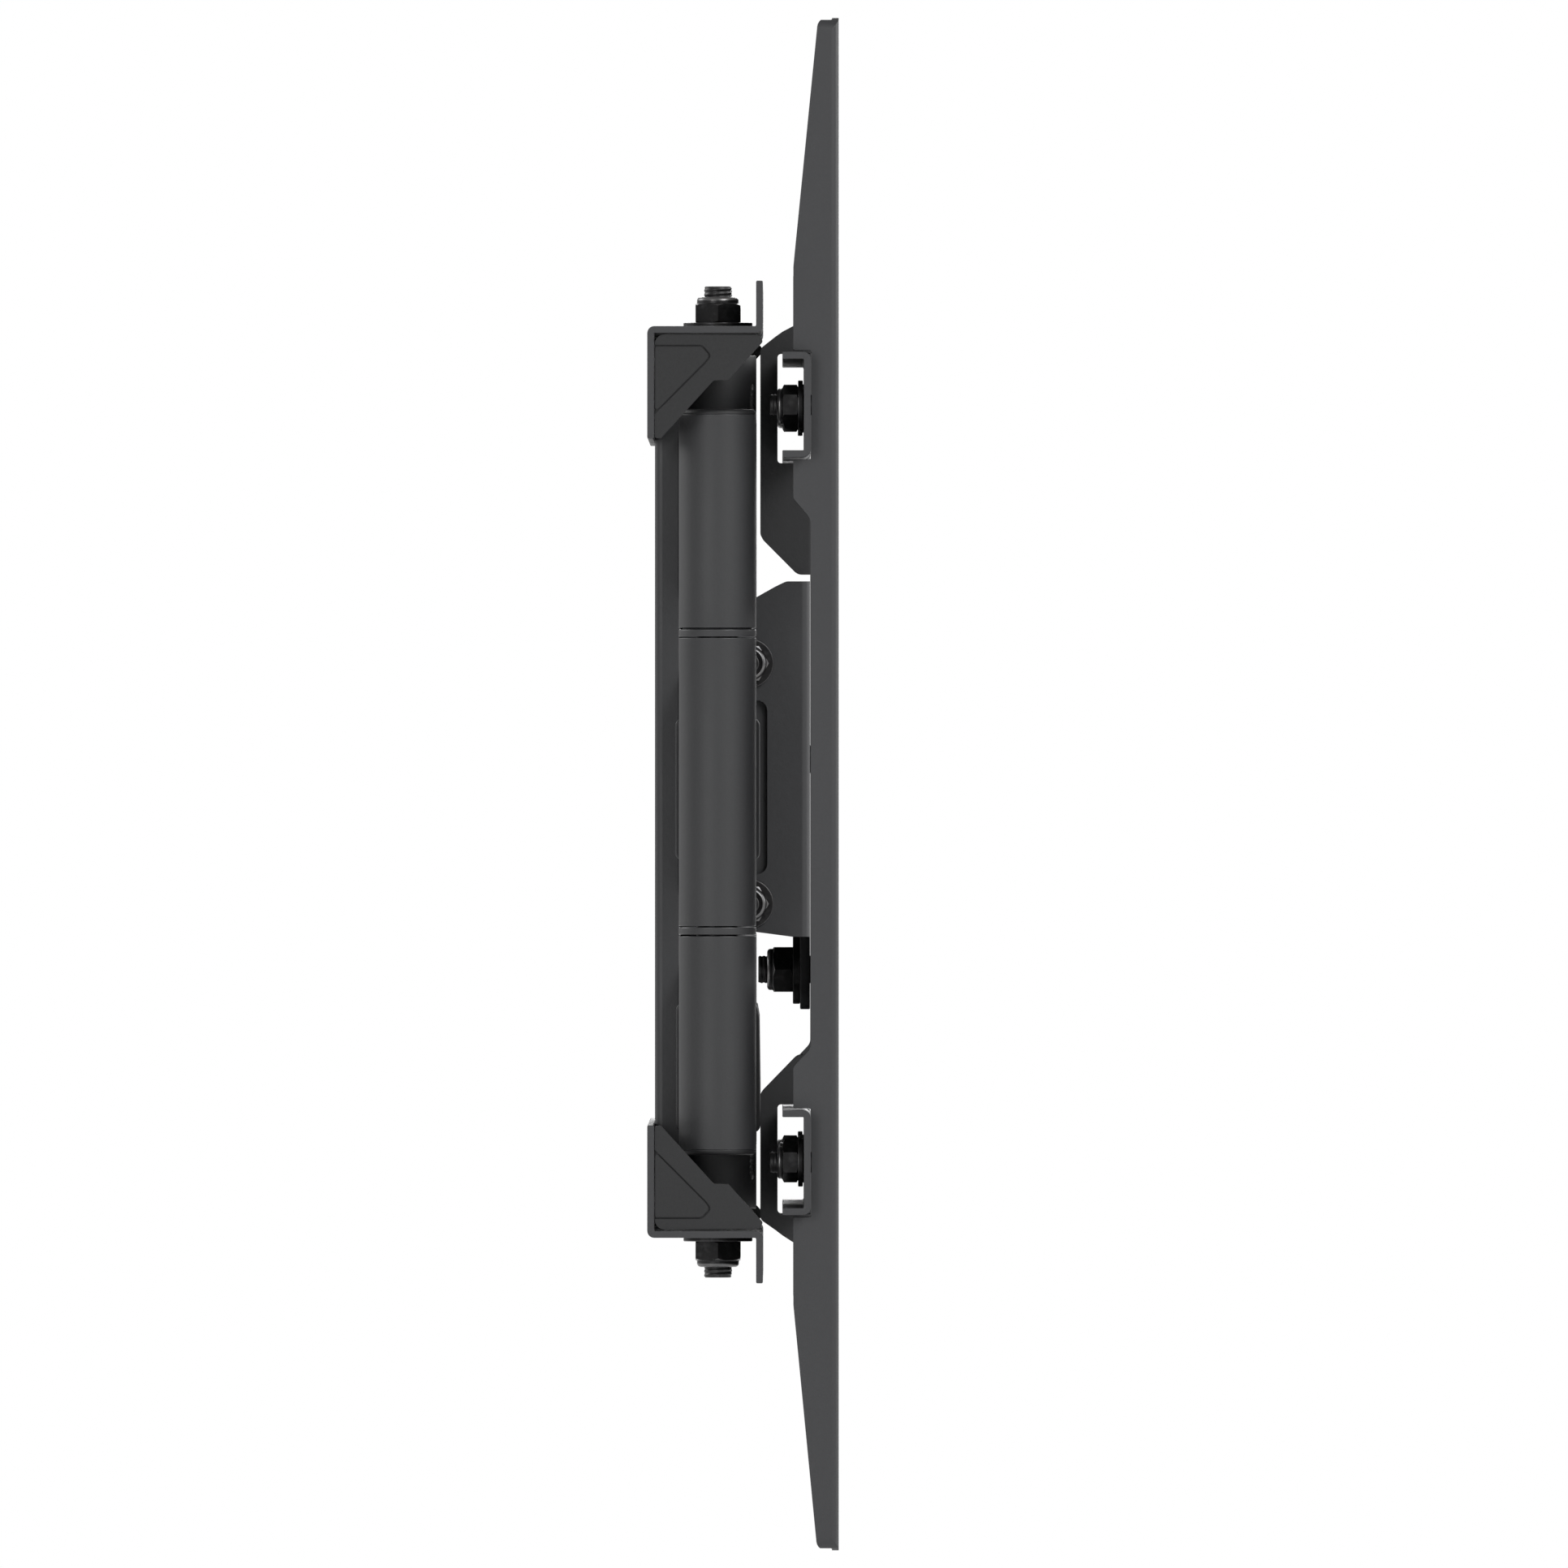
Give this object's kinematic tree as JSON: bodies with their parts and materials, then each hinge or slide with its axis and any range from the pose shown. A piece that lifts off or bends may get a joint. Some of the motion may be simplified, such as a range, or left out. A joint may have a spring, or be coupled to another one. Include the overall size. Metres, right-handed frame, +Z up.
{
  "type": "full motion tv wall mount",
  "caption": "Folded dual-arm television wall mount: slotted rail wall plate, hinged arms with a middle outer arm, tilting and levelling head, and sliding screen brackets.",
  "frame": {"origin": "middle of the wall slots, in the plane of the wall", "axes": "+Z up, +Y into the wall, -Y towards the screen, +X along the rails to the right as seen from the room"},
  "size_m": [0.45, 0.055, 0.4402],
  "materials": {
    "powder_coat": "fine-textured black powder coat, satin",
    "black_plastic": "matt moulded black plastic",
    "black_zinc_steel": "black zinc plated steel, semi-gloss",
    "nylon": "dark nylon, satin"
  },
  "bodies": {
    "wall_plate": {"top_rail": "powder_coat", "bottom_rail": "powder_coat", "left_post": "powder_coat", "right_post": "powder_coat", "left_end_caps": "black_plastic", "right_end_caps": "black_plastic", "wall_pivot_ears": "powder_coat", "wall_pivot_bolts": "black_zinc_steel", "wall_pivot_washers": "black_zinc_steel", "wall_pivot_nuts": "black_zinc_steel", "wall_pivot_bushes": "nylon"},
    "left_inner_arms": {"left_upper_arm": "powder_coat", "left_lower_arm": "powder_coat", "left_inner_barrels": "powder_coat", "left_elbow_pin": "black_zinc_steel", "left_elbow_nut": "black_zinc_steel", "left_elbow_caps": "black_plastic", "left_elbow_spacers": "powder_coat", "left_lower_cable_clip": "black_plastic"},
    "left_outer_arms": {"left_outer_arm": "powder_coat", "left_outer_barrels": "powder_coat", "left_outer_cable_clip": "black_plastic"},
    "left_screen_bracket": {"left_tv_bracket": "powder_coat", "left_bracket_tabs": "powder_coat", "left_bracket_bolts": "black_zinc_steel", "left_bracket_washers": "black_zinc_steel", "left_bracket_nuts": "black_zinc_steel"},
    "right_inner_arms": {"right_upper_arm": "powder_coat", "right_lower_arm": "powder_coat", "right_inner_barrels": "powder_coat", "right_elbow_pin": "black_zinc_steel", "right_elbow_nut": "black_zinc_steel", "right_elbow_caps": "black_plastic", "right_elbow_spacers": "powder_coat", "right_lower_cable_clip": "black_plastic"},
    "right_outer_arms": {"right_outer_arm": "powder_coat", "right_outer_barrels": "powder_coat", "right_outer_cable_clip": "black_plastic"},
    "right_screen_bracket": {"right_tv_bracket": "powder_coat", "right_bracket_tabs": "powder_coat", "right_bracket_bolts": "black_zinc_steel", "right_bracket_washers": "black_zinc_steel", "right_bracket_nuts": "black_zinc_steel"},
    "bridge": {"bridge_ear_plates": "powder_coat", "bridge_channel": "powder_coat", "bridge_pivot_pins": "black_zinc_steel"},
    "tilt_head": {"tilt_yoke": "powder_coat", "tilt_bolts": "black_zinc_steel", "tilt_washers": "black_zinc_steel", "tilt_nuts": "black_zinc_steel", "level_tongue": "powder_coat", "level_bolts": "black_zinc_steel", "level_washers": "black_zinc_steel", "level_nuts": "black_zinc_steel"},
    "screen_plate": {"centre_plate": "powder_coat", "upper_tv_channel": "powder_coat", "lower_tv_channel": "powder_coat", "centre_plate_bolts": "black_zinc_steel", "centre_plate_washers": "black_zinc_steel", "centre_plate_nuts": "black_zinc_steel"}
  },
  "joints": [
    {"name": "extend", "type": "hinge", "parent": "wall_plate", "child": "left_inner_arms", "pos_m": [-0.058, -0.02016, 0], "axis": [0, 0, 1], "range_deg": [0, 80]},
    {"name": "left_elbow", "type": "hinge", "parent": "left_inner_arms", "child": "left_outer_arms", "pos_m": [-0.206, -0.02016, 0], "axis": [0, 0, 1], "range_deg": [-160, 0]},
    {"name": "left_bridge_pivot", "type": "hinge", "parent": "left_outer_arms", "child": "bridge", "pos_m": [-0.058, -0.02016, 0], "axis": [0, 0, 1], "range_deg": [0, 80]},
    {"name": "right_wall_pivot", "type": "hinge", "parent": "wall_plate", "child": "right_inner_arms", "pos_m": [0.058, -0.02016, 0], "axis": [0, 0, 1], "range_deg": [-80, 0]},
    {"name": "right_elbow", "type": "hinge", "parent": "right_inner_arms", "child": "right_outer_arms", "pos_m": [0.206, -0.02016, 0], "axis": [0, 0, 1], "range_deg": [0, 160]},
    {"name": "tilt", "type": "hinge", "parent": "bridge", "child": "tilt_head", "pos_m": [0, -0.02913, -0.0353], "axis": [1, 0, 0], "range_deg": [-1.5, 3]},
    {"name": "level", "type": "hinge", "parent": "tilt_head", "child": "screen_plate", "pos_m": [0, -0.0468, 0.0066], "axis": [0, 1, 0], "range_deg": [-3, 3]},
    {"name": "left_bracket_slide", "type": "slide", "parent": "screen_plate", "child": "left_screen_bracket", "axis": [1, 0, 0], "range_m": [-0.004, 0.1]},
    {"name": "right_bracket_slide", "type": "slide", "parent": "screen_plate", "child": "right_screen_bracket", "axis": [-1, 0, 0], "range_m": [-0.004, 0.1]}
  ],
  "couplings": [
    {"joint": "left_elbow", "follows": "extend", "ratio": -2},
    {"joint": "left_bridge_pivot", "follows": "extend", "ratio": 1},
    {"joint": "right_wall_pivot", "follows": "extend", "ratio": -1},
    {"joint": "right_elbow", "follows": "extend", "ratio": 2}
  ]
}
